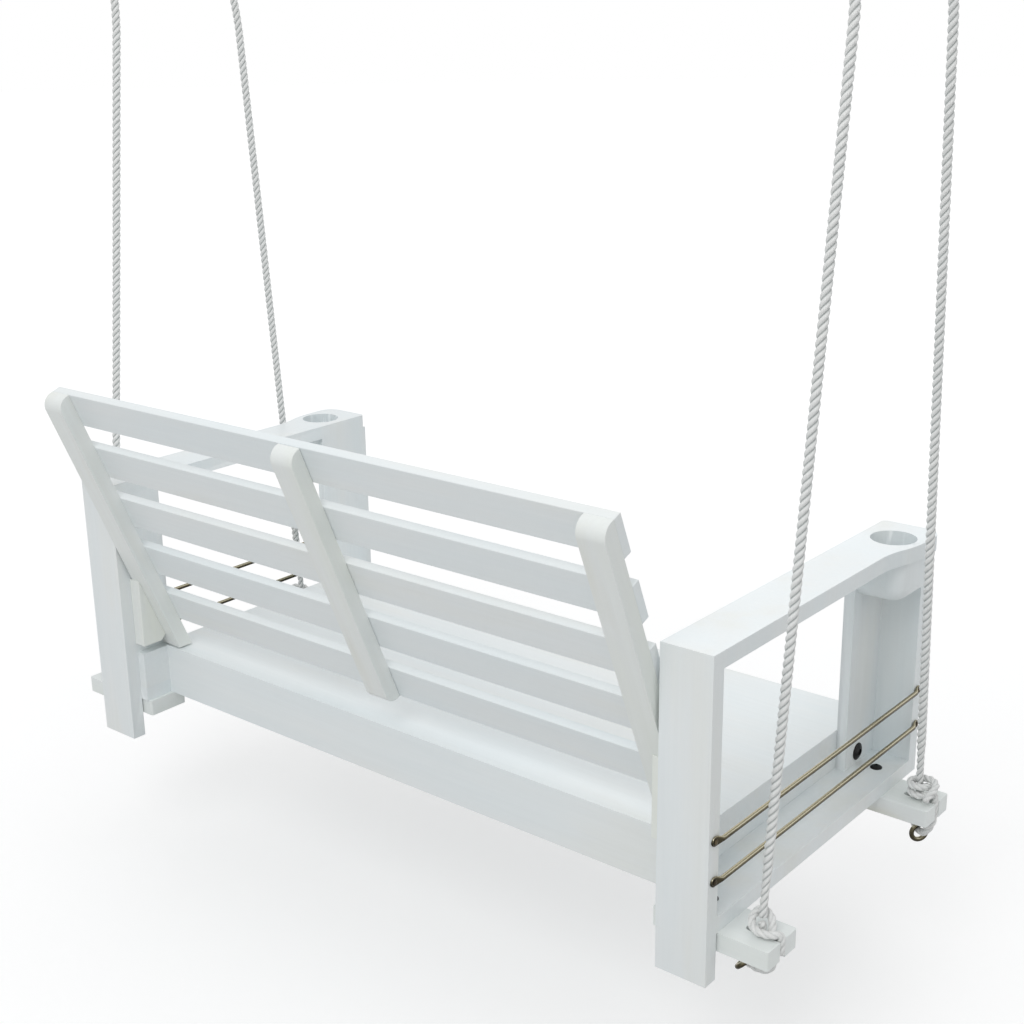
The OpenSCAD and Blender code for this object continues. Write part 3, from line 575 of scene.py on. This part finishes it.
def filled(name, finishes, radius, top_z=None, top_finish=None):
    """Boards as one mesh, filled and painted over at their joints.

    The finishes give the CAD nodes of each material. Faces that look up from the height
    top_z take the top finish, whichever board they are on.
    """
    parts = {}
    for material, names in finishes.items():
        for cad_name in names:
            mesh = bpy.data.meshes.new(cad_name + "_part")
            bm = closed_copy(cad_name)
            bm.to_mesh(mesh)
            bm.free()
            mesh.materials.append(material)
            parts[cad_name] = linked(mesh.name, mesh)
    base, *others = parts.values()
    for part in others:
        union = base.modifiers.new("union", "BOOLEAN")
        union.operation, union.solver, union.object = "UNION", "EXACT", part
        union.material_mode = "TRANSFER"
    bpy.context.view_layer.update()
    whole = base.evaluated_get(bpy.context.evaluated_depsgraph_get())
    bm = bmesh.new()
    bm.from_mesh(whole.data)
    # the evaluated mesh holds passing copies of the materials
    materials = [material.original for material in whole.data.materials]
    bmesh.ops.remove_doubles(bm, verts=bm.verts, dist=WELD)
    if top_finish:
        for face in bm.faces:
            height = face.calc_center_median().z
            if face.normal.z > FACES_UP and abs(height - top_z) < SAME_HEIGHT:
                face.material_index = materials.index(top_finish)
    ease(bm, radius, HOLE_RIM)
    piece = new_piece(f"painted_{name}", bm, WOOD_SHARP)
    keep_flat(piece)
    set_piece(piece, "seat", "painted_wood", materials, *parts)
    for part in parts.values():
        bpy.data.objects.remove(part)


def add_woodwork():
    """All painted boards, each with its grain along its length."""
    across = painted_wood("paint_across", 0)
    blocks = painted_wood("paint_blocks", 0, warmth=0.45)
    along = painted_wood("paint_along", 1, warmth=0.1)
    seat_side = painted_wood("paint_seat_side", 1, warmth=0.9)
    rear = painted_wood("paint_rear_leg", 2)
    front = painted_wood("paint_front_leg", 2, warmth=0.6)
    batten = painted_wood("paint_batten", 2, warmth=0.95)
    leaning = painted_wood("paint_leaning", 2, (-BACK_LEAN, 0, 0), warmth=0.7)
    for side_name in SIDES:
        boards = {
            rear: ["rear_leg"],
            along: ["arm_top", "shelf"],
            front: ["front_leg", "cup_block"],
            batten: ["front_batten", "rear_batten"],
        }
        finishes = {
            finish: [f"{name}_{side_name}" for name in names] for finish, names in boards.items()
        }
        filled(f"arm_frame_{side_name}", finishes, FRAME_EASE)
        eased(f"back_cleat_{side_name}", batten, SEAT_EASE)
        for end in ("rear", "front"):
            eased(f"{end}_block_{side_name}", blocks, BLOCK_EASE)
    for name in ("stile_left", "stile_centre", "stile_right"):
        eased(name, leaning, STILE_EASE)
    for i in range(1, SLATS + 1):
        eased(f"slat_{i}", across, SLAT_EASE)
    seat = {
        across: ["seat_panel", "rear_rail", "front_rail"],
        seat_side: ["seat_side_left", "seat_side_right"],
    }
    filled("seat", seat, SEAT_EASE, at(0, 0, SEAT_Z).z, across)
    eased("seat_bearers", across, SEAT_EASE)


# ---------------------------------------------------------------- rack rods
# In millimetres
ROD_R = 4.0
ROD_X = HALF_W + ROD_R + 1
TAB_R, TAB_T = 7.5, 3.0
TAB_FLAT = 1             # length that stays flat past the screw
TAB_SPREAD = 16          # length over which the rod flattens
TAB_ANGLES = range(10, 100, 10)  # stations round the tab's end, in degrees
SPREAD_STEPS = 12
TAB_SQUARE = 0.55        # how far the tab's section is from round
ROD_SIDES = 32


def rod_sections():
    """Stations along Y: (y, half height, half thickness, middle X), tab edge to tab edge."""
    half = []
    tab_y, tab_x, thin = LEG_T / 2, HALF_W + TAB_T / 2, TAB_T / 2
    for angle in TAB_ANGLES:
        a = math.radians(angle)
        half.append((tab_y - TAB_R * math.cos(a), TAB_R * math.sin(a), thin, tab_x))
    for i in range(1, SPREAD_STEPS + 1):
        t = i / SPREAD_STEPS
        s = ease_in(t)
        half.append((
            tab_y + TAB_FLAT + TAB_SPREAD * t, TAB_R + (ROD_R - TAB_R) * s,
            thin + (ROD_R - thin) * s, tab_x + (ROD_X - tab_x) * s,
        ))
    return half + [(BENCH_D - y, *rest) for y, *rest in reversed(half)]


def squarish(angle, power):
    """Point of a rounded-square outline with half sides of 1; power 1 is a circle."""
    c, s = math.cos(angle), math.sin(angle)
    return math.copysign(abs(c) ** power, c), math.copysign(abs(s) ** power, s)


def add_rods(brass):
    """The magazine rods, round with flattened ends."""
    for level, z in ROD_HEIGHTS.items():
        for side_name, side in SIDES.items():
            bm = bmesh.new()
            rings = []
            for y, tall, thick, x in rod_sections():
                power = 1 - TAB_SQUARE * (1 - (thick - TAB_T / 2) / (ROD_R - TAB_T / 2))
                ring = []
                for k in range(ROD_SIDES):
                    u, v = squarish(2 * math.pi * k / ROD_SIDES, power)
                    ring.append(bm.verts.new(at(side * (x + thick * u), y, z + tall * v)))
                rings.append(ring)
            skin_rings(bm, rings)
            bmesh.ops.recalc_face_normals(bm, faces=bm.faces)
            rod = new_piece(f"rod_{level}_{side_name}", bm, ROD_SHARP)
            set_piece(rod, "seat", "bronze", [brass], f"{level}_rod_{side_name}")


# ---------------------------------------------------------------- light and floor
FLOOR_Z = -1.75
WORLD_LIGHT = (0.68, 0.685, 0.69)
LAMPS = [
    # name, place, aimed at, width, watts
    ("softbox_above", (0.2, 0.2, 2.6), (0.0, 0.0, -1.2), 3.2, 12),
    ("softbox_behind", (0.9, -3.4, 2.4), (0.1, 0.0, -1.2), 2.8, 62),
    ("softbox_front", (-1.8, 4.2, 1.2), (0.0, 0.0, -1.1), 2.8, 16),
]


def add_lamps():
    """Round soft boxes, aimed at the bench."""
    for name, place, target, width, watts in LAMPS:
        data = bpy.data.lights.new(name, "AREA")
        data.shape, data.size, data.energy = "DISK", width, watts
        lamp = linked(name, data)
        lamp.location = place
        aim = Vector(target) - Vector(place)
        lamp.rotation_euler = aim.to_track_quat("-Z", "Y").to_euler()


def seen_white(tree, light_path):
    """1 for the rays that the background is seen by: from the camera, or in gloss or glass."""
    total = light_path.outputs["Is Camera Ray"]
    for name in ("Is Glossy Ray", "Is Transmission Ray"):
        total = maths(tree, "MAXIMUM", total, light_path.outputs[name])
    return total


def add_world():
    """Grey light from all round, seen as white."""
    world = bpy.data.worlds.new("studio")
    bpy.context.scene.world = world
    world.use_nodes = True
    tree = world.node_tree
    background = tree.nodes["Background"]
    seen = seen_white(tree, node(tree, "ShaderNodeLightPath"))
    tree.links.new(mix(tree, seen, WORLD_LIGHT, (1.0, 1.0, 1.0)), background.inputs["Color"])


# Light added to the floor as it is seen, which takes its pale grey up to white: near the
# bench, and further off, where no lamp reaches it
FLOOR_GREY = 0.62
LIFT_NEAR, LIFT_FAR = 0.42, 0.62
NEAR, FAR = 1.5, 5.0     # from the middle of the floor, in metres
FLOOR_R, FLOOR_SIDES = 40, 96


def add_floor():
    """Pale floor that takes the bench's shadow."""
    bm = bmesh.new()
    bmesh.ops.create_circle(bm, cap_ends=True, segments=FLOOR_SIDES, radius=FLOOR_R)
    bmesh.ops.translate(bm, verts=bm.verts, vec=(0, 0, FLOOR_Z))
    floor = new_piece("floor", bm)
    material = bpy.data.materials.new("pale_floor")
    material.use_nodes = True
    tree = material.node_tree
    tree.nodes.clear()
    seen = seen_white(tree, node(tree, "ShaderNodeLightPath"))
    place = object_place(tree)
    away = node(
        tree, "ShaderNodeVectorMath", {"operation": "LENGTH"}, Vector=place
    ).outputs["Value"]
    lift_here = node(
        tree, "ShaderNodeMapRange", Value=away, From_Min=NEAR, From_Max=FAR,
        To_Min=LIFT_NEAR, To_Max=LIFT_FAR,
    ).outputs["Result"]
    lift = maths(tree, "MULTIPLY", seen, lift_here)
    matt = node(tree, "ShaderNodeBsdfDiffuse", Color=(FLOOR_GREY,) * 3 + (1,)).outputs[0]
    glow = node(tree, "ShaderNodeEmission", Strength=lift).outputs[0]
    both = node(tree, "ShaderNodeAddShader")
    feed(tree, both.inputs[0], matt)
    feed(tree, both.inputs[1], glow)
    node(tree, "ShaderNodeOutputMaterial", Surface=both.outputs[0])
    floor.data.materials.append(material)


# ---------------------------------------------------------------- the scene
def dress_metal(brass):
    """Gives the metal CAD nodes, which are seen as they are, their finishes."""
    steel = plated("zinc_plate", (0.62, 0.63, 0.64), (0.42, 0.43, 0.45), 0.32)
    dark = plated("aged_screw", (0.10, 0.08, 0.05), (0.03, 0.025, 0.02), 0.45)
    ends = ("rear", "front")
    gear = [f"{end}_{part}" for part in ("thimbles", "ferrules") for end in ends]
    finishes = {
        steel: ["ceiling_hooks", *gear],
        brass: [f"{end}_ring_{side}" for end in ends for side in SIDES],
        dark: ["rod_screws"],
        black_oxide(): ["batten_bolts", "block_bolts", "stile_bolts"],
    }
    for material, names in finishes.items():
        for name in names:
            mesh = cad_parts[name].data
            mesh.materials.clear()
            mesh.materials.append(material)


add_camera()
# the ropes get full painted shade in their grooves, the hitches less
add_ropes(rope_material("rope_taut", 1.0), rope_material("rope_slack", 0.3))
add_woodwork()
brass = antique_brass()
add_rods(brass)
dress_metal(brass)
add_world()
add_lamps()
add_floor()
bpy.context.scene.view_settings.view_transform = "Standard"
